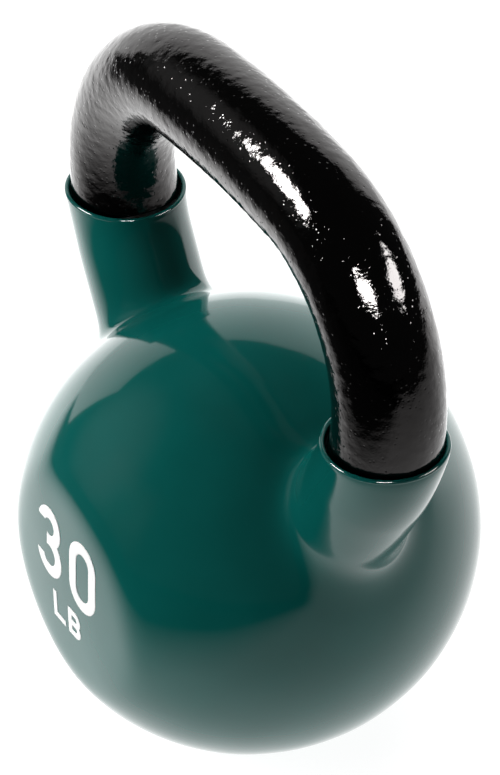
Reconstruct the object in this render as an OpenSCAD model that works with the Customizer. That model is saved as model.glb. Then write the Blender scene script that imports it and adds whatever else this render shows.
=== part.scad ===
// Kettlebell: a cast iron bell with an enamelled handle, a dipped vinyl jacket
// over the ball and the horns, and a printed weight mark on the front.
// Origin at the middle of the base, +X along the handle, -Y to the marked front.

/* [Ball] */
// Diameter over the vinyl jacket
ball_d = 149.6; // [140:0.2:160]
// Distance from the ball's centre to the flat front and back
face_offset = 66.5; // [64:0.5:69]
// Distance from the ball's centre to the flat base
base_offset = 63; // [60:0.5:66]

/* [Handle] */
// Diameter of the handle over its enamel
handle_d = 34.3; // [30:0.1:36]
// Height of the grip's centreline above the ball's centre
grip_rise = 149; // [140:0.5:160]
// Bend radius of the handle's corners, on the centreline
corner_r = 51.3; // [46:0.1:56]
// Distance from the middle to each corner's bend centre
corner_x = 28; // [24:0.5:32]
// Slope of the arched grip where it meets a corner
arch_angle = 6.5; // [4:0.5:10]
// How much thicker the arched grip is than its corners
grip_swell = 0.4; // [0.3:0.1:1]
// Thickness of the black enamel
enamel_t = 0.3; // [0.2:0.05:0.5]

/* [Horns] */
// Lean of the horns, outwards from the vertical
horn_lean = 29; // [24:0.5:34]
// Diameter of the horns
horn_d = 37.8; // [37:0.1:40]
// Lean of the collar that tops each horn
collar_lean = 14; // [10:0.5:18]
// Diameter of the collar
collar_d = 39.6; // [39:0.1:42]
// Length of the collar
collar_len = 16.4; // [16.2:0.1:18]
// Distance from the middle to the centre of a rim
rim_x = 77.4; // [77:0.1:78.6]
// Height of the jacket's rims above the ball's centre
rim_rise = 85.3; // [84:0.1:87]

/* [Jacket] */
// Thickness of the vinyl
jacket_t = 1.8; // [1.4:0.1:2]
// Thickness of the vinyl at the open rims
rim_t = 1.4; // [1.2:0.1:1.5]
// Depth of the gap between rim and handle
gap_depth = 5; // [4:0.5:5.5]

/* [Weight mark] */
// Height of the figures
figure_h = 26.5; // [22:0.5:30]
// Width of the figures
figure_w = 16; // [14:0.5:18]
// Stroke of the figures
figure_stroke = 4.2; // [3:0.1:5]
// Height of the unit's letters
letter_h = 10.5; // [8:0.5:12]
// Stroke of the unit's letters
letter_stroke = 2.2; // [1.6:0.1:2.6]
// Height of the figures' middle above the ball's centre
figure_rise = 11; // [8:0.5:14]
// Thickness of the printed ink
ink_t = 0.15; // [0.1:0.05:0.3]

/* [Hidden] */
$fn = 96;

ball_r = ball_d / 2;
handle_r = handle_d / 2;
iron_r = handle_r - enamel_t;
core_r = ball_r - jacket_t;
centre_z = base_offset;

// The grip's arch meets each corner without a kink, so their centres share a line.
arch_r = corner_r + corner_x / sin(arch_angle);
corner_z = centre_z + grip_rise - arch_r + (arch_r - corner_r) * cos(arch_angle);
arch_z = centre_z + grip_rise - arch_r;

// A horn's axis leaves the corner's centreline where that leans as the horn does.
horn_x = corner_x + corner_r * cos(horn_lean);
horn_z = corner_z - corner_r * sin(horn_lean);
horn_depth = 56;
horn_top = 6.6;
rim_z = centre_z + rim_rise;
gap_r = collar_d / 2 - rim_t;
spare = 12;
// The corners run this far on inside the thicker grip, and end this far round inside the collars' iron.
lap_angle = 3;
buried_angle = 22;

figure_gap = 5.3;
figure_x = (figure_w + figure_gap) / 2;
mark_x = -1.5;
figure_z = centre_z + figure_rise;
letter_w = 0.72 * letter_h;
letter_x = (letter_w + 2.2) / 2;
letter_z = figure_z - figure_h / 2 - 4.5 - letter_h / 2;

ink = "white";
iron = "dimgray";
enamel = "#101012";
vinyl = "#0c4f48";

// The bell's ball, cut flat in front, behind and below, by `inset` inside the jacket's skin.
module ball(inset) {
    intersection() {
        translate([0, 0, centre_z]) rotate([90, 0, 0]) sphere(r = ball_r - inset);
        translate([-ball_d, -face_offset + inset, inset]) cube([2 * ball_d, 2 * (face_offset - inset), 2 * ball_d]);
    }
}

module both_sides() {
    children();
    mirror([1, 0, 0]) children();
}

// A round bar that leans outwards by `lean`, from `low` to `high` past x, z.
module leaning_bar(x, z, lean, low, high, r) {
    translate([x, 0, z]) rotate([0, lean, 0]) translate([0, 0, low]) cylinder(h = high - low, r = r);
}

// One horn without its collar, `inset` inside the jacket's skin.
module horn(inset) {
    leaning_bar(horn_x, horn_z, horn_lean, -horn_depth, horn_top - inset, horn_d / 2 - inset);
}

// One collar, cut off at `high` past its rim's middle.
module collar(inset, high) {
    leaning_bar(rim_x, rim_z, collar_lean, inset - collar_len, high, collar_d / 2 - inset);
}

// A round bar along the handle's centreline: the arched grip and its two corners.
module handle_bar(r) {
    translate([0, 0, arch_z]) rotate([90, 0, 0]) rotate([0, 0, 90 - arch_angle])
        rotate_extrude(angle = 2 * arch_angle) translate([arch_r, 0]) circle(r = r + grip_swell / 2);
    both_sides() translate([corner_x, 0, corner_z]) rotate([90, 0, 0]) rotate([0, 0, -buried_angle])
        rotate_extrude(angle = 90 - arch_angle + lap_angle + buried_angle) translate([corner_r, 0]) circle(r = r);
}

// The iron inside the jacket, which the jacket fits without a gap.
module core() {
    ball(jacket_t);
    both_sides() horn(jacket_t);
    both_sides() collar(jacket_t, -gap_depth);
}

module iron_casting() color(iron) {
    core();
    handle_bar(iron_r);
}

module handle_enamel() color(enamel) difference() {
    handle_bar(handle_r);
    handle_bar(iron_r);
    both_sides() leaning_bar(rim_x, rim_z, collar_lean, -horn_depth, -gap_depth, collar_d);
}

module vinyl_jacket() color(vinyl) difference() {
    intersection() {
        union() {
            ball(0);
            both_sides() horn(0);
            both_sides() collar(0, spare);
        }
        translate([-ball_d, -ball_d, 0]) cube([2 * ball_d, 2 * ball_d, rim_z]);
    }
    core();
    both_sides() leaning_bar(rim_x, rim_z, collar_lean, -gap_depth, spare, gap_r);
}

// Stands a flat shape on the front face, upright at x, z.
module print_on_front(x, z) {
    translate([mark_x + x, -face_offset, z]) rotate([90, 0, 0]) linear_extrude(ink_t) children();
}

module ring(r) {
    difference() {
        circle(r = r);
        circle(r = r - figure_stroke);
    }
}

module figure_3() color(ink) print_on_front(-figure_x, figure_z) {
    low_r = (figure_h + figure_stroke) / 4 + 0.4;
    high_r = (figure_h + figure_stroke) / 4 - 0.4;
    difference() {
        union() {
            translate([0, low_r - figure_h / 2]) ring(low_r);
            translate([0, figure_h / 2 - high_r]) ring(high_r);
        }
        translate([-figure_w, -figure_h / 2 + low_r * 0.8]) square([figure_w - 1.5, figure_h - 0.8 * (low_r + high_r)]);
    }
}

// A bar with round ends, `w` wide and `h` high.
module stadium(w, h) {
    square([w, h - w], center = true);
    for (side = [-1, 1]) translate([0, side * (h - w) / 2]) circle(d = w);
}

module figure_0() color(ink) print_on_front(figure_x, figure_z) difference() {
    stadium(figure_w, figure_h);
    stadium(figure_w - 2 * figure_stroke, figure_h - 2 * figure_stroke);
}

module letter_l() color(ink) print_on_front(-letter_x, letter_z) {
    translate([-letter_w / 2, -letter_h / 2]) square([letter_stroke, letter_h]);
    translate([-letter_w / 2, -letter_h / 2]) square([letter_w, letter_stroke]);
}

// One lobe of the B, open to its stem.
module lobe(h) {
    reach = letter_w - h / 2;
    difference() {
        union() {
            square([reach, h]);
            translate([reach, h / 2]) circle(d = h);
        }
        translate([letter_stroke, letter_stroke]) square([reach - letter_stroke, h - 2 * letter_stroke]);
        translate([reach, h / 2]) circle(d = h - 2 * letter_stroke);
    }
}

module letter_b() color(ink) print_on_front(letter_x, letter_z) {
    lobe_h = (letter_h + letter_stroke) / 2;
    translate([-letter_w / 2, -letter_h / 2]) lobe(lobe_h);
    translate([-letter_w / 2, letter_h / 2 - lobe_h]) lobe(lobe_h);
}

iron_casting();
handle_enamel();
vinyl_jacket();
figure_3();
figure_0();
letter_l();
letter_b();
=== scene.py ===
"""A vinyl-jacketed cast iron kettlebell: its looks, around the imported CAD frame.

Shapes are worked out in millimetres, with heights above the ball's centre, and go into the frame's
metres only as each mesh is made. +X runs along the handle, and the marked front faces -Y.
"""

import math

import bmesh
import bpy
import numpy as np
from mathutils import Matrix, Vector, noise


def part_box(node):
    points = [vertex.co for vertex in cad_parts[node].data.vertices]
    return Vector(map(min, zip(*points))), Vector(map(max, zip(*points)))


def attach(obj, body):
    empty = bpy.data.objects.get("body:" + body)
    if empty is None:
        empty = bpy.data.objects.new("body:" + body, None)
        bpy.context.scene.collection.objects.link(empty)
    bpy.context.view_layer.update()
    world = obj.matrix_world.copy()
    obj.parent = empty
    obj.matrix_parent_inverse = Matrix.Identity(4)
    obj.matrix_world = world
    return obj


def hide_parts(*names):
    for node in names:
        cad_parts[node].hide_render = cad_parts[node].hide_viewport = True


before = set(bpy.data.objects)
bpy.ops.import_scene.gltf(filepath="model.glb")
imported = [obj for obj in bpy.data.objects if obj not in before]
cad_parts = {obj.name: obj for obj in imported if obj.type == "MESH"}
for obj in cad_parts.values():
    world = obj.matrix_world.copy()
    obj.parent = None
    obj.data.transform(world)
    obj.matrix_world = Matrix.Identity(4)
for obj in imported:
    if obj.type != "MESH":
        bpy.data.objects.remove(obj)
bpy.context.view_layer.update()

MM = 0.001

# ---- Sizes ---------------------------------------------------------------------------------------
BALL_R = 74.8
BASE_OFFSET = 63.0
HANDLE_R = 17.15
ENAMEL_T = 0.3
GRIP_SWELL = 0.2
CORNER_R = 51.3
CORNER_X = 28.0
ARCH_ANGLE = math.radians(6.5)
GRIP_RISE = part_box("handle_enamel")[1][2] / MM - BASE_OFFSET - HANDLE_R - GRIP_SWELL
FACE_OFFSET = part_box("vinyl_jacket")[1][1] / MM
RIM_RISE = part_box("vinyl_jacket")[1][2] / MM - BASE_OFFSET

# The horns bend from one lean to the other below the rims, and then run straight into the ball.
RIM_X = 77.6
RIM_R = 19.6
RIM_LEAN = math.radians(12)
HORN_LEAN = math.radians(29)
HORN_R = 18.9
BEND_LEN = 20.0
FLARE_LEN = 16.0
HORN_LEN = 55.0
RIM_T = 1.4
BEAD_R = 0.75
JACKET_T = 1.8
GAP_DEPTH = 5.0

# Clearances too thin to see, which keep one surface from lying in another.
ENAMEL_CLEARANCE = 0.03
IRON_CLEARANCE = 0.05

# How widely the dip rounds off the casting's edges and fills the crease around each horn.
EDGE_BLEND = 4.0
CREASE_BLEND = 11.5

# The radius of the very slight dome of the front and the back.
FACE_DOME_R = 450.0

# Points in each ring of the jacket and the iron, and of the enamel.
AROUND = 192
ENAMEL_AROUND = 168

ARCH_R = CORNER_R + CORNER_X / math.sin(ARCH_ANGLE)
ARCH_Z = GRIP_RISE - ARCH_R
CORNER_Z = ARCH_Z + (ARCH_R - CORNER_R) * math.cos(ARCH_ANGLE)
BEND_R = BEND_LEN / (HORN_LEAN - RIM_LEAN)
BEND_X = RIM_X - BEND_R * math.cos(RIM_LEAN)
BEND_Z = RIM_RISE + BEND_R * math.sin(RIM_LEAN)


# ---- Mesh helpers --------------------------------------------------------------------------------
def to_frame(points):
    """Millimetres above the ball's centre to the frame's metres above the base."""
    return (points + np.array([0, 0, BASE_OFFSET])) * MM


def ring_mesh(name, rings):
    """A closed skin of quads through rings of points, with the last ring joined to the first."""
    index = np.arange(rings.shape[0] * rings.shape[1]).reshape(rings.shape[:2])
    ahead = np.roll(index, -1, axis=0)
    faces = np.stack([index, np.roll(index, -1, axis=1), np.roll(ahead, -1, axis=1), ahead], axis=-1)
    return make_piece(name, rings.reshape(-1, 3), faces.reshape(-1, 4))


def make_piece(name, points, faces):
    mesh = bpy.data.meshes.new(name)
    mesh.from_pydata(to_frame(points).tolist(), [], faces.tolist())
    mesh.shade_smooth()
    piece = bpy.data.objects.new(name, mesh)
    bpy.context.collection.objects.link(piece)
    return piece


def random_waves(seed, count, length, height):
    """A smooth seeded unevenness, as a function of points: waves of about one length, in all directions."""
    rng = np.random.default_rng(seed)
    ways = rng.normal(size=(count, 3))
    ways *= 2 * math.pi / (length * rng.uniform(0.7, 1.5, count) * np.linalg.norm(ways, axis=1))[:, None]
    shifts = rng.uniform(0, 2 * math.pi, count)
    return lambda points: np.sin(points @ ways.T + shifts).sum(axis=-1) * height / math.sqrt(count)


# ---- The jacket's skin ---------------------------------------------------------------------------
def smooth_max(a, b, blend):
    overlap = np.maximum(blend - np.abs(a - b), 0) / blend
    return np.maximum(a, b) + overlap ** 3 * blend / 6


def smooth_min(a, b, blend):
    return -smooth_max(-a, -b, blend)


def horn_radius(run):
    """The horn's radius at a distance below its rim, where it flares."""
    return HORN_R + (RIM_R - HORN_R) * np.clip(1 - run / FLARE_LEN, 0, 1) ** 2


def horn_axis(run):
    """The horn's centre, outward direction and upward direction at a distance below its rim."""
    lean = RIM_LEAN + np.minimum(run, BEND_LEN) / BEND_R
    out = np.stack([np.cos(lean), 0 * lean, -np.sin(lean)], axis=-1)
    up = np.stack([np.sin(lean), 0 * lean, np.cos(lean)], axis=-1)
    centre = np.array([BEND_X, 0, BEND_Z]) + BEND_R * out - np.maximum(run - BEND_LEN, 0)[..., None] * up
    return centre, out, up


def horn_distance(x, y, z):
    """How far points lie outside the horn at +X."""
    x, z = x - BEND_X, z - BEND_Z
    lean = np.arctan2(-z, x)
    straight = lean > HORN_LEAN
    along = BEND_LEN - x * math.sin(HORN_LEAN) - z * math.cos(HORN_LEAN)
    across = x * math.cos(HORN_LEAN) - z * math.sin(HORN_LEAN)
    run = np.where(straight, along, BEND_R * (lean - RIM_LEAN))
    off = np.where(straight, across, np.hypot(x, z)) - BEND_R
    beyond = np.maximum(run - HORN_LEN, 0)
    return np.sqrt(off ** 2 + y ** 2 + beyond ** 2) - horn_radius(run)


def skin_distance(points):
    """How far points lie outside the jacket's skin: a ball with flats, and a horn on each side."""
    x, y, z = np.abs(points[..., 0]), points[..., 1], points[..., 2]
    ball = np.sqrt(x ** 2 + y ** 2 + z ** 2) - BALL_R
    face = np.sqrt(x ** 2 + (np.abs(y) + FACE_DOME_R - FACE_OFFSET) ** 2 + z ** 2) - FACE_DOME_R
    ball = smooth_max(ball, face, EDGE_BLEND)
    ball = smooth_max(ball, -z - BASE_OFFSET, EDGE_BLEND)
    return smooth_min(ball, horn_distance(x, y, z), CREASE_BLEND)


def skin_slope(points):
    """The direction straight out of the skin at each point, with its steepness as its length."""
    step = 0.02
    slope = np.empty_like(points)
    for axis in range(3):
        shift = np.zeros(3)
        shift[axis] = step
        slope[..., axis] = (skin_distance(points + shift) - skin_distance(points - shift)) / (2 * step)
    return slope


def onto_skin(points, rounds):
    for _ in range(rounds):
        slope = skin_slope(points)
        fall = skin_distance(points) / np.maximum((slope ** 2).sum(axis=-1), 0.05)
        points = points - np.clip(fall, -4, 4)[..., None] * slope
    return points


def skin_normal(points):
    slope = skin_slope(points)
    return slope / np.linalg.norm(slope, axis=-1, keepdims=True)


def horn_grid(around, runs):
    """Rings of points down the horn at +X, level at the rim and square to the horn further down."""
    turn = np.linspace(0, 2 * math.pi, around, endpoint=False)
    centre, out, up = (part[:, None, :] for part in horn_axis(runs))
    radius = horn_radius(runs)[:, None, None]
    rings = centre + radius * (np.cos(turn)[:, None] * out + np.sin(turn)[:, None] * np.array([0, 1, 0]))
    level = np.clip(1 - runs / FLARE_LEN, 0, 1)[:, None, None] ** 2
    return rings - up * level * (rings[..., 2:] - centre[..., 2:]) / up[..., 2:]


def ball_grid(foot, count):
    """Rings that spread over the ball from the horn's foot to the ball's middle plane."""
    turn = np.linspace(0, 2 * math.pi, foot.shape[0], endpoint=False)
    start = foot / np.linalg.norm(foot, axis=-1, keepdims=True)
    end = np.stack([0 * turn, np.sin(turn), -np.cos(turn)], axis=-1)
    angle = np.arccos((start * end).sum(axis=-1))[None, :, None]
    share = np.linspace(0, 1, count + 1)[1:, None, None]
    return BALL_R * (start * np.sin((1 - share) * angle) + end * np.sin(share * angle)) / np.sin(angle)


def respace(rings, count, crease_share):
    """The same skin with `count` rings, closest together at the crease, `crease_share` of the way down."""
    steps = np.linalg.norm(np.diff(rings, axis=0), axis=-1)
    place = np.linspace(0, 1, len(steps))[:, None]
    steps = steps * (1 + 1.5 * np.exp(-((place - crease_share) / 0.12) ** 2))
    reach = np.concatenate([np.zeros((1, rings.shape[1])), np.cumsum(steps, axis=0)])
    share = np.linspace(0, 1, count)
    columns = [
        [np.interp(share * reach[-1, j], reach[:, j], rings[:, j, axis]) for axis in range(3)]
        for j in range(rings.shape[1])
    ]
    return np.array(columns).transpose(2, 0, 1)


def half_skin():
    """Rings over the jacket at +X, from its rim to the ball's middle plane."""
    horn = horn_grid(AROUND, np.linspace(RIM_T / 2, 26, 120))
    ball = ball_grid(foot=horn[-1], count=280)
    rings = onto_skin(np.concatenate([horn, ball]), rounds=12)
    rings = onto_skin(respace(rings, count=150, crease_share=0.38), rounds=3)
    rings[0, :, 2] = RIM_RISE - RIM_T / 2
    rings[-1, :, 0] = 0
    return rings


def mirrored(half):
    """The rings of one half, from its far end back, at -X."""
    return (half * np.array([-1, 1, 1]))[::-1]


def lip_rings(rim, level, count=9):
    """The rounded lip, over the top of the wall from the skin to the gap."""
    turn = np.linspace(0, math.pi, count + 2)[1:-1, None, None]
    return rim - level * RIM_T / 2 * (1 - np.cos(turn)) + np.array([0, 0, RIM_T / 2]) * np.sin(turn)


# How far each point of the dipped vinyl stands out from its smooth shape.
unevenness = random_waves(seed=11, count=14, length=26, height=0.05)


def level_normal(rim):
    """The level direction out of the skin at each point of a rim."""
    level = skin_normal(rim) * np.array([1, 1, 0])
    return level / np.linalg.norm(level, axis=-1, keepdims=True)


def make_bead(name, rim, side):
    """The rounded bead that the dip leaves along a rim, at +X or -X."""
    level = level_normal(rim)
    middle = rim + level * (unevenness(rim * np.array([side, 1, 1]))[..., None] - RIM_T / 2)
    turn = np.linspace(0, 2 * math.pi, 24, endpoint=False)[:, None, None]
    rings = middle + BEAD_R * (level * np.cos(turn) + np.array([0, 0, 1]) * np.sin(turn))
    rings = rings[::side] * np.array([side, 1, 1])
    return ring_mesh(name, rings)


def make_jacket(skin):
    """The vinyl: its skin, the lips of its rims, and its inside against the iron."""
    level = level_normal(skin[:1])
    rows = np.concatenate([np.arange(0, 24, 3), np.arange(24, len(skin) - 1, 6), [len(skin) - 1]])
    under_rim = (skin[rows, :, 2:] > RIM_RISE - GAP_DEPTH - 1)
    inner = skin[rows] - skin_normal(skin[rows]) * np.where(under_rim, RIM_T, JACKET_T)
    inner[0] = skin[0] - level[0] * RIM_T
    half = np.concatenate([skin[::-1], lip_rings(skin[:1], level), inner])
    rings = np.concatenate([half, mirrored(half)[1:-1]])
    rings += skin_normal(rings) * unevenness(rings)[..., None]
    rings[..., 2] = np.maximum(rings[..., 2], -BASE_OFFSET)
    return ring_mesh("vinyl_skin", rings)


def make_iron(skin):
    """The casting: the handle's bar, the floors of both gaps, and the bell inside the jacket."""
    below = skin[skin[:, 0, 2] < RIM_RISE - GAP_DEPTH][::3]
    bell = below - skin_normal(below) * (JACKET_T + IRON_CLEARANCE)
    bell[-1, :, 0] = 0
    bar, _ = handle_rings(count=121, around=AROUND, radius_change=-ENAMEL_T - ENAMEL_CLEARANCE)
    return ring_mesh("iron_body", np.concatenate([bell, mirrored(bell)[1:], bar]))


# ---- The handle's enamel -------------------------------------------------------------------------
# The least and the most that the enamel stands out from its smooth shape.
LUMP_LOW = -0.22
LUMP_HIGH = 0.2


def handle_axis(run):
    """The grip's centre and outward direction at a distance from its middle, towards +X or -X."""
    side = np.sign(run)
    arch_len = ARCH_R * ARCH_ANGLE
    on_arch = np.minimum(np.abs(run), arch_len) / ARCH_R
    turn = on_arch + np.maximum(np.abs(run) - arch_len, 0) / CORNER_R
    out = np.stack([side * np.sin(turn), 0 * turn, np.cos(turn)], axis=-1)
    in_corner = (np.abs(run) > arch_len)[..., None]
    corner = np.stack([side * CORNER_X, 0 * turn, 0 * turn + CORNER_Z], axis=-1) + CORNER_R * out
    arch = np.stack([0 * turn, 0 * turn, 0 * turn + ARCH_Z], axis=-1) + ARCH_R * out
    return np.where(in_corner, corner, arch), out


def casting_lumps(point):
    """How far the enamel stands out where it follows the rough casting."""
    swell = noise.noise(point / 9.0) * 0.06
    lumps = noise.noise(point / 2.8 + Vector((7, 0, 0))) * 0.08
    grain = noise.noise(point / 1.3 + Vector((0, 5, 0))) * 0.05
    return swell + lumps + grain


def handle_len():
    """The length from the grip's middle to just under the floor of a gap."""
    return ARCH_R * ARCH_ANGLE + CORNER_R * (math.pi / 2 - ARCH_ANGLE + RIM_LEAN) + GAP_DEPTH + 0.5


def handle_rings(count, around, radius_change):
    """Rings along the handle from gap floor to gap floor, and the outward direction at each point."""
    run = np.linspace(-handle_len(), handle_len(), count)
    centre, out = (part[:, None, :] for part in handle_axis(run))
    turn = np.linspace(0, 2 * math.pi, around, endpoint=False)[:, None]
    direction = np.cos(turn) * out + np.sin(turn) * np.array([0, 1, 0])
    swell = GRIP_SWELL * np.clip((ARCH_R * ARCH_ANGLE + 6 - np.abs(run)) / 12, 0, 1)[:, None, None]
    return centre + direction * (HANDLE_R + swell + radius_change), direction


def make_enamel():
    """The black coat on the handle: a lumpy outside over a smooth inside."""
    outer, direction = handle_rings(count=400, around=ENAMEL_AROUND, radius_change=-ENAMEL_CLEARANCE)
    lumps = [casting_lumps(Vector(point)) for point in outer.reshape(-1, 3)]
    lumps = np.clip(lumps, LUMP_LOW, LUMP_HIGH).reshape(outer.shape[:2] + (1,))
    inner, _ = handle_rings(count=60, around=ENAMEL_AROUND, radius_change=-ENAMEL_T)
    return ring_mesh("enamel_coat", np.concatenate([outer + direction * lumps, inner[::-1]]))


# ---- The weight mark -----------------------------------------------------------------------------
FIGURE_H = 26.5
FIGURE_W = 16.0
FIGURE_STROKE = 4.2
FIGURE_GAP = 5.3
FIGURE_RISE = 11.0
LETTER_H = 10.5
LETTER_STROKE = 2.2
LETTER_W = 0.72 * LETTER_H
MARK_X = -1.5
INK_T = 0.12


# Each shape is a function of x, z on the front face that is negative inside its outline.
def ring_shape(x, z, radius, stroke):
    return np.abs(np.hypot(x, z) - radius + stroke / 2) - stroke / 2


def box_shape(x, z, left, right, low, high):
    return np.maximum(np.maximum(left - x, x - right), np.maximum(low - z, z - high))


def figure_3(x, z):
    low_r = (FIGURE_H + FIGURE_STROKE) / 4 + 0.4
    high_r = (FIGURE_H + FIGURE_STROKE) / 4 - 0.4
    low_ring = ring_shape(x, z - low_r + FIGURE_H / 2, low_r, FIGURE_STROKE)
    high_ring = ring_shape(x, z + high_r - FIGURE_H / 2, high_r, FIGURE_STROKE)
    cut = box_shape(x, z, -FIGURE_W, -1.5, -FIGURE_H / 2 + low_r * 0.8, FIGURE_H / 2 - high_r * 0.8)
    return np.maximum(np.minimum(low_ring, high_ring), -cut)


def figure_0(x, z):
    straight = (FIGURE_H - FIGURE_W) / 2
    return ring_shape(x, z - np.clip(z, -straight, straight), FIGURE_W / 2, FIGURE_STROKE)


def letter_l(x, z):
    left, low = -LETTER_W / 2, -LETTER_H / 2
    stem = box_shape(x, z, left, left + LETTER_STROKE, low, -low)
    foot = box_shape(x, z, left, -left, low, low + LETTER_STROKE)
    return np.minimum(stem, foot)


def letter_b(x, z):
    lobe_h = (LETTER_H + LETTER_STROKE) / 2
    middle = (LETTER_H - lobe_h) / 2
    reach = LETTER_W / 2 - lobe_h / 2
    left = -LETTER_W / 2
    shape = box_shape(x, z, left, left + LETTER_STROKE, -LETTER_H / 2, LETTER_H / 2)
    for lobe_z in (-middle, middle):
        across = x - np.minimum(x, reach)
        lobe = ring_shape(across, z - lobe_z, lobe_h / 2, LETTER_STROKE)
        shape = np.minimum(shape, np.maximum(lobe, left - x))
    return shape


def front_point(x, z):
    """The points of the front face at x, z."""
    points = np.stack([x, 0 * x - FACE_OFFSET, z], axis=-1)
    for _ in range(4):
        points[..., 1] -= skin_distance(points) / skin_slope(points)[..., 1]
    return points


def make_mark(name, shape, mark_x, mark_z, width, height, cell=0.35):
    """A thin plate of ink in the outline where shape(x, z) is negative, laid on the front face."""
    across = int(width / cell / 2) + 2
    tall = int(height / cell / 2) + 2
    columns = np.arange(-across, across + 1) * cell
    rows = np.arange(-tall, tall + 1) * cell
    x, z = np.meshgrid(columns, rows, indexing="ij")
    inside = shape(x[:-1, :-1] + cell / 2, z[:-1, :-1] + cell / 2) < 0
    index = np.arange(x.size).reshape(x.shape)
    cells = np.stack([index[:-1, :-1], index[1:, :-1], index[1:, 1:], index[:-1, 1:]], axis=-1)[inside]
    used = np.unique(cells)
    x, z = x.ravel()[used], z.ravel()[used]
    edges = np.bincount(np.searchsorted(used, cells).ravel()) < 4
    for _ in range(4):
        step = cell / 20
        slope_x = (shape(x + step, z) - shape(x - step, z)) / (2 * step)
        slope_z = (shape(x, z + step) - shape(x, z - step)) / (2 * step)
        pull = np.where(edges, shape(x, z), 0) / np.maximum(slope_x ** 2 + slope_z ** 2, 0.2)
        x, z = x - pull * slope_x, z - pull * slope_z
    points = front_point(MARK_X + mark_x + x, mark_z + z)
    piece = make_piece(name, points + skin_normal(points) * INK_T, np.searchsorted(used, cells))
    mesh = bmesh.new()
    mesh.from_mesh(piece.data)
    top = mesh.faces[:]
    sides = bmesh.ops.extrude_face_region(mesh, geom=top, use_keep_orig=True)["geom"]
    below = [part for part in sides if isinstance(part, bmesh.types.BMVert)]
    bmesh.ops.translate(mesh, verts=below, vec=(0, 2 * INK_T * MM, 0))
    bmesh.ops.recalc_face_normals(mesh, faces=mesh.faces)
    mesh.to_mesh(piece.data)
    mesh.free()
    return piece


# ---- Materials -----------------------------------------------------------------------------------
def map_range(nodes, links, source, range_in, range_out, curve="LINEAR"):
    """A socket with `source` carried from one range to another, and held at its ends."""
    node = nodes.new("ShaderNodeMapRange")
    node.interpolation_type = curve
    for socket, value in zip(("From Min", "From Max", "To Min", "To Max"), (*range_in, *range_out)):
        node.inputs[socket].default_value = value
    links.new(source, node.inputs["Value"])
    return node.outputs["Result"]


class Recipe:
    """A material's node tree, with short calls for what the recipes below repeat."""

    def __init__(self, name, **constants):
        self.material = bpy.data.materials.new(name)
        self.material.use_nodes = True
        self.nodes = self.material.node_tree.nodes
        self.links = self.material.node_tree.links
        self.shader = self.nodes["Principled BSDF"]
        self.place = self.nodes.new("ShaderNodeTexCoord").outputs["Object"]
        for socket, value in constants.items():
            self.shader.inputs[socket.replace("_", " ")].default_value = value

    def link(self, source, target):
        self.links.new(source, target)

    def noise(self, size, detail=2.0, roughness=0.5):
        """Noise whose blotches are about `size` millimetres across."""
        node = self.nodes.new("ShaderNodeTexNoise")
        node.inputs["Scale"].default_value = 1 / (size * MM)
        node.inputs["Detail"].default_value = detail
        node.inputs["Roughness"].default_value = roughness
        self.link(self.place, node.inputs["Vector"])
        return node.outputs["Fac"]

    def cells(self, size):
        """Distance to the nearest of points scattered about `size` millimetres apart."""
        node = self.nodes.new("ShaderNodeTexVoronoi")
        node.inputs["Scale"].default_value = 1 / (size * MM)
        self.link(self.place, node.inputs["Vector"])
        return node.outputs["Distance"]

    def span(self, source, low_in, high_in, low_out, high_out):
        """`source` carried from one range to another, and held at its ends."""
        return map_range(self.nodes, self.links, source, (low_in, high_in), (low_out, high_out))

    def mix(self, factor, first, second):
        """Two colours mixed by a factor."""
        node = self.nodes.new("ShaderNodeMix")
        node.data_type = "RGBA"
        self.link(factor, node.inputs[0])
        for socket, colour in ((node.inputs[6], first), (node.inputs[7], second)):
            if isinstance(colour, tuple):
                socket.default_value = (*colour, 1)
            else:
                self.link(colour, socket)
        return node.outputs[2]

    def add(self, first, second):
        node = self.nodes.new("ShaderNodeMath")
        node.operation = "ADD"
        self.link(first, node.inputs[0])
        self.link(second, node.inputs[1])
        return node.outputs[0]

    def bump(self, height, depth, under=None):
        """Bumps `depth` millimetres deep, over the bumps in `under`."""
        node = self.nodes.new("ShaderNodeBump")
        node.inputs["Distance"].default_value = depth * MM
        self.link(height, node.inputs["Height"])
        if under is not None:
            self.link(under, node.inputs["Normal"])
        return node.outputs["Normal"]

    def finish(self, colour, roughness, normal):
        self.link(colour, self.shader.inputs["Base Color"])
        self.link(roughness, self.shader.inputs["Roughness"])
        self.link(normal, self.shader.inputs["Normal"])
        return self.material


def vinyl():
    """Glossy dipped vinyl: deep green, faintly clouded and uneven, with light scuffs."""
    recipe = Recipe("green_vinyl", IOR=1.5)
    clouds = recipe.noise(28, detail=3)
    colour = recipe.mix(recipe.span(clouds, 0.3, 0.7, 0, 1), (0.0014, 0.086, 0.075), (0.0022, 0.100, 0.088))
    scuffs = recipe.span(recipe.noise(3.0, detail=6, roughness=0.7), 0.58, 0.75, 0, 0.10)
    roughness = recipe.add(recipe.span(recipe.noise(12), 0.3, 0.7, 0.07, 0.10), scuffs)
    peel = recipe.bump(recipe.noise(7), 0.02)
    return recipe.finish(colour, roughness, recipe.bump(recipe.noise(0.8, detail=3), 0.0015, peel))


def enamel():
    """Black baked enamel, glossy over a rough casting, with a fine grain and small pits."""
    recipe = Recipe("black_enamel", IOR=1.5, Specular_Tint=(1.0, 0.95, 0.94, 1.0))
    wear = recipe.span(recipe.noise(2.2, detail=5, roughness=0.65), 0.55, 0.8, 0, 1)
    colour = recipe.mix(wear, (0.0016, 0.0016, 0.0019), (0.006, 0.0058, 0.0058))
    roughness = recipe.span(recipe.noise(6, detail=4), 0.3, 0.7, 0.025, 0.06)
    pits = recipe.bump(recipe.span(recipe.cells(2.0), 0.0, 0.22, 0, 1), 0.08)
    grain = recipe.bump(recipe.noise(1.05, detail=3, roughness=0.55), 0.055, pits)
    return recipe.finish(colour, roughness, grain)


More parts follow.
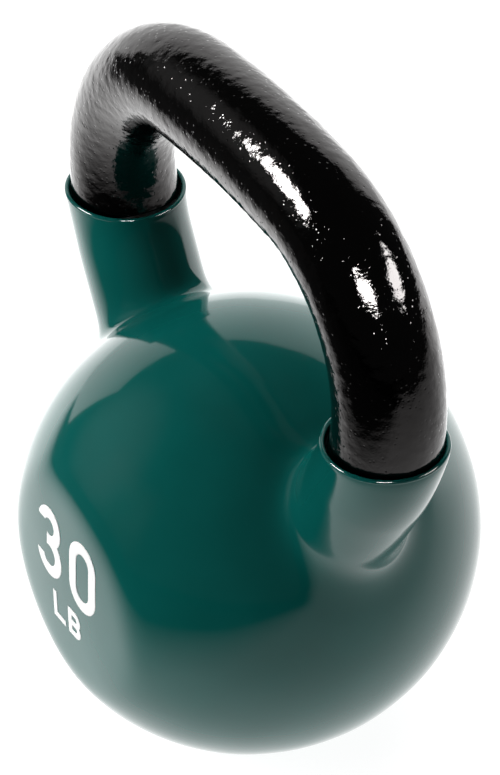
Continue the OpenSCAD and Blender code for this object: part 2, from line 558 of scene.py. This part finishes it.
def iron():
    """Raw grey iron as cast, with a sandy texture and rust-dark specks."""
    recipe = Recipe("raw_iron", Metallic=0.6)
    specks = recipe.span(recipe.noise(3, detail=5), 0.4, 0.65, 0, 1)
    colour = recipe.mix(specks, (0.10, 0.10, 0.105), (0.045, 0.038, 0.034))
    roughness = recipe.span(recipe.noise(1.5, detail=3), 0.3, 0.7, 0.55, 0.8)
    return recipe.finish(colour, roughness, recipe.bump(recipe.noise(0.6, detail=4), 0.12))


def ink():
    """Opaque white print, satin, with a slightly uneven film."""
    recipe = Recipe("white_ink")
    thin = recipe.span(recipe.noise(1.2, detail=5), 0.55, 0.8, 0, 1)
    colour = recipe.mix(thin, (0.93, 0.93, 0.92), (0.80, 0.85, 0.83))
    roughness = recipe.span(recipe.noise(2.5), 0.3, 0.7, 0.28, 0.42)
    return recipe.finish(colour, roughness, recipe.bump(recipe.noise(0.7, detail=3), 0.01))


def dress(piece, material):
    piece.data.materials.clear()
    piece.data.materials.append(material)


# ---- Studio --------------------------------------------------------------------------------------
FLOOR_SIZE = 12.0
SWEEP_AZIMUTH = 225
SWEEP_DISTANCE = 1.8
SWEEP_LEFT = 3.5
SWEEP_RIGHT = 1.0
SWEEP_HEIGHT = 1.75
TARGET = Vector((0, 0, BASE_OFFSET * MM))


def facing(azimuth, elevation):
    """The direction from the ball towards a place at degrees round from -Y towards +X, and up."""
    turn, rise = math.radians(azimuth), math.radians(elevation)
    return Vector((math.sin(turn) * math.cos(rise), -math.cos(turn) * math.cos(rise), math.sin(rise)))


def along(nodes, links, position, direction):
    """A socket with how far `position` lies along a direction."""
    node = nodes.new("ShaderNodeVectorMath")
    node.operation = "DOT_PRODUCT"
    node.inputs[1].default_value = direction
    links.new(position, node.inputs[0])
    return node.outputs["Value"]


def glow(name, direction, stops, edge=None, seen=None):
    """A glowing stage material whose strength follows its (metres, strength) stops along a direction.

    `edge` is a direction, and the distances along it between which the glow fades out. `seen` is the
    strength of what the camera sees of it directly, where that differs.
    """
    material = bpy.data.materials.new(name)
    material.use_nodes = True
    nodes, links = material.node_tree.nodes, material.node_tree.links
    nodes.remove(nodes["Principled BSDF"])
    position = nodes.new("ShaderNodeNewGeometry").outputs["Position"]
    low, high = stops[0][0], stops[-1][0]
    peak = max(strength for _, strength in stops)
    ramp = nodes.new("ShaderNodeFloatCurve")
    curve = ramp.mapping.curves[0]
    curve.points[0].location = (0, stops[0][1] / peak)
    curve.points[1].location = (1, stops[-1][1] / peak)
    for place, strength in stops[1:-1]:
        curve.points.new((place - low) / (high - low), strength / peak)
    ramp.mapping.update()
    share = map_range(nodes, links, along(nodes, links, position, direction), (low, high), (0, 1))
    links.new(share, ramp.inputs["Value"])
    scale = nodes.new("ShaderNodeMath")
    scale.operation = "MULTIPLY"
    scale.inputs[1].default_value = peak
    links.new(ramp.outputs["Value"], scale.inputs[0])
    if edge is not None:
        distance = along(nodes, links, position, edge[0])
        links.new(map_range(nodes, links, distance, edge[1:], (peak, 0.05)), scale.inputs[1])
    shader = nodes.new("ShaderNodeEmission")
    links.new(scale.outputs[0], shader.inputs["Strength"])
    result = shader.outputs[0]
    if seen is not None:
        result = seen_as(nodes, links, paper(nodes, seen), result)
    links.new(result, nodes["Material Output"].inputs["Surface"])
    return material


def paper(nodes, strength):
    """A matt pale surface that shows faint shadows."""
    shader = nodes.new("ShaderNodeBsdfPrincipled")
    shader.inputs["Base Color"].default_value = (0.25, 0.25, 0.25, 1)
    shader.inputs["Roughness"].default_value = 1.0
    shader.inputs["Specular IOR Level"].default_value = 0.0
    shader.inputs["Emission Color"].default_value = (1, 1, 1, 1)
    shader.inputs["Emission Strength"].default_value = strength
    return shader.outputs[0]


def seen_as(nodes, links, seen, otherwise):
    """One stage shader where it is looked at, and another where it lights and is mirrored."""
    choice = nodes.new("ShaderNodeMixShader")
    links.new(nodes.new("ShaderNodeLightPath").outputs["Is Camera Ray"], choice.inputs[0])
    links.new(otherwise, choice.inputs[1])
    links.new(seen, choice.inputs[2])
    return choice.outputs[0]


def stage_sheet(name, corners, material):
    mesh = bpy.data.meshes.new(name)
    mesh.from_pydata([tuple(corner) for corner in corners], [], [(0, 1, 2, 3)])
    sheet = bpy.data.objects.new(name, mesh)
    bpy.context.collection.objects.link(sheet)
    dress(sheet, material)
    return sheet


def add_floor():
    """A pale table, brighter towards the sweep, that ends a little way before the marked front."""
    half = FLOOR_SIZE / 2
    corners = ((-half, -half, 0), (half, -half, 0), (half, half, 0), (-half, half, 0))
    dark_end = ((-1.1, 0.02), (-0.8, 0.40), (-0.2, 0.68), (-0.09, 1.0))
    bright_end = ((0.03, 1.42), (0.25, 2.1), (1.1, 2.1))
    edge = (facing(4, 0), 0.11, 0.28)
    light = glow("floor_light", facing(255, 0), dark_end + bright_end, edge, seen=0.95)
    stage_sheet("floor", corners, light)


def add_sweep():
    """The white paper that lights the object from behind, brightest at its foot, and isn't seen itself."""
    middle = facing(SWEEP_AZIMUTH, 0) * SWEEP_DISTANCE
    left = facing(SWEEP_AZIMUTH + 90, 0) * SWEEP_LEFT
    right = facing(SWEEP_AZIMUTH - 90, 0) * SWEEP_RIGHT
    top = Vector((0, 0, SWEEP_HEIGHT))
    corners = (middle + right, middle + left, middle + left + top, middle + right + top)
    stops = ((0, 1.45), (0.6, 1.4), (1.3, 1.15), (SWEEP_HEIGHT, 0.85))
    sweep = stage_sheet("sweep", corners, glow("sweep_light", (0, 0, 1), stops))
    sweep.visible_camera = False


def add_softbox(name, azimuth, elevation, distance, width, height, power, on=None, off=None):
    """A soft light. `on` lists the only pieces that it reaches, or `off` the pieces that it leaves out.

    A box with `on` makes highlights, which aren't mirrored in other pieces. One with `off` only fills.
    """
    data = bpy.data.lights.new(name, "AREA")
    data.shape = "RECTANGLE"
    data.size = width
    data.size_y = height
    data.energy = power
    light = bpy.data.objects.new(name, data)
    away = facing(azimuth, elevation)
    light.location = TARGET + away * distance
    light.rotation_euler = away.to_track_quat("Z", "Y").to_euler()
    light.visible_glossy = on is not None
    light.visible_diffuse = on is None
    bpy.context.collection.objects.link(light)
    group = bpy.data.collections.new(name + "_pieces")
    for piece in on or off:
        group.objects.link(piece)
    light.light_linking.receiver_collection = group
    for member in group.collection_objects:
        member.light_linking.link_state = "INCLUDE" if on else "EXCLUDE"
    if on is not None:
        data.use_nodes = True
        nodes, links = data.node_tree.nodes, data.node_tree.links
        direct = nodes.new("ShaderNodeMath")
        direct.operation = "LESS_THAN"
        direct.inputs[1].default_value = 2.5
        links.new(nodes.new("ShaderNodeLightPath").outputs["Ray Depth"], direct.inputs[0])
        links.new(direct.outputs[0], nodes["Emission"].inputs["Strength"])


def add_world():
    """A dark studio, with one dim glow at the left, and a white backdrop where it is looked at."""
    world = bpy.data.worlds.new("studio")
    world.use_nodes = True
    nodes, links = world.node_tree.nodes, world.node_tree.links
    ways = nodes.new("ShaderNodeTexCoord").outputs["Generated"]
    toward_glow = along(nodes, links, ways, facing(314, 27))
    dim = nodes["Background"]
    dim.inputs["Color"].default_value = (1, 1, 1, 1)
    strength = map_range(nodes, links, toward_glow, (0.86, 1.0), (0.03, 0.28), curve="SMOOTHSTEP")
    links.new(strength, dim.inputs["Strength"])
    backdrop = nodes.new("ShaderNodeBackground")
    backdrop.inputs["Color"].default_value = (1, 1, 1, 1)
    result = seen_as(nodes, links, backdrop.outputs[0], dim.outputs[0])
    links.new(result, nodes["World Output"].inputs["Surface"])
    bpy.context.scene.world = world


def add_camera():
    """A long lens at the photo's angle, aimed a little above the ball's centre."""
    roll = math.radians(0.28)
    distance = 1.3166
    aim_up = 0.04315
    aim_right = 0.00016
    focal_to_frame = 5.27828
    back = facing(58.76, 37.35)
    right = Vector((-back.y, back.x, 0)).normalized()
    up = back.cross(right)
    data = bpy.data.cameras.new("camera")
    data.lens = focal_to_frame * data.sensor_width
    camera = bpy.data.objects.new("camera", data)
    rolled_right = right * math.cos(roll) + up * math.sin(roll)
    rolled_up = up * math.cos(roll) - right * math.sin(roll)
    camera.matrix_world = Matrix((rolled_right, rolled_up, back)).transposed().to_4x4()
    camera.location = TARGET + up * aim_up + right * aim_right + back * distance
    bpy.context.collection.objects.link(camera)
    bpy.context.scene.camera = camera


# ---- The object ----------------------------------------------------------------------------------
def place(piece, node, slot, material):
    """Has a piece stand for a CAD node, on the one body, in its finish."""
    dress(piece, material)
    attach(piece, "root")
    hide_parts(node)


skin = half_skin()
handle = make_enamel()
place(make_iron(skin), "iron_casting", "iron", iron())
green = vinyl()
place(make_jacket(skin), "vinyl_jacket", "vinyl", green)
lit = [handle]
for name, side in (("rim_bead_right", 1), ("rim_bead_left", -1)):
    bead = make_bead(name, skin[:1], side)
    place(bead, "vinyl_jacket", "vinyl", green)
    lit.append(bead)
place(handle, "handle_enamel", "enamel", enamel())

white = ink()
figure_x = (FIGURE_W + FIGURE_GAP) / 2
letter_x = (LETTER_W + 2.2) / 2
letter_rise = FIGURE_RISE - FIGURE_H / 2 - 4.5 - LETTER_H / 2
MARKS = (
    ("figure_3", figure_3, -figure_x, FIGURE_RISE, FIGURE_W, FIGURE_H),
    ("figure_0", figure_0, figure_x, FIGURE_RISE, FIGURE_W, FIGURE_H),
    ("letter_l", letter_l, -letter_x, letter_rise, LETTER_W, LETTER_H),
    ("letter_b", letter_b, letter_x, letter_rise, LETTER_W, LETTER_H),
)
for node, shape, mark_x, mark_z, width, height in MARKS:
    place(make_mark("printed_" + node, shape, mark_x, mark_z, width, height), node, "ink", white)

add_world()
add_floor()
add_sweep()
add_softbox("left_box", 329, 39, 1.6, 0.64, 0.42, 50, on=lit)
add_softbox("camera_box", 59, 43, 1.6, 0.56, 0.29, 32, on=lit)
add_softbox("right_box", 141, 38, 1.6, 0.68, 0.42, 19, on=lit)
add_softbox("left_fill", 345, 22, 0.6, 0.4, 0.3, 2.8, off=[handle])
add_softbox("right_fill", 100, -5, 0.35, 0.3, 0.06, 0.15, off=[handle])
add_softbox("back_fill", 225, 35, 1.6, 1.2, 0.8, 15, off=[handle])
add_softbox("top_fill", 250, 75, 1.6, 1.2, 1.2, 10, off=[handle])
add_camera()
bpy.context.scene.view_settings.view_transform = "Standard"
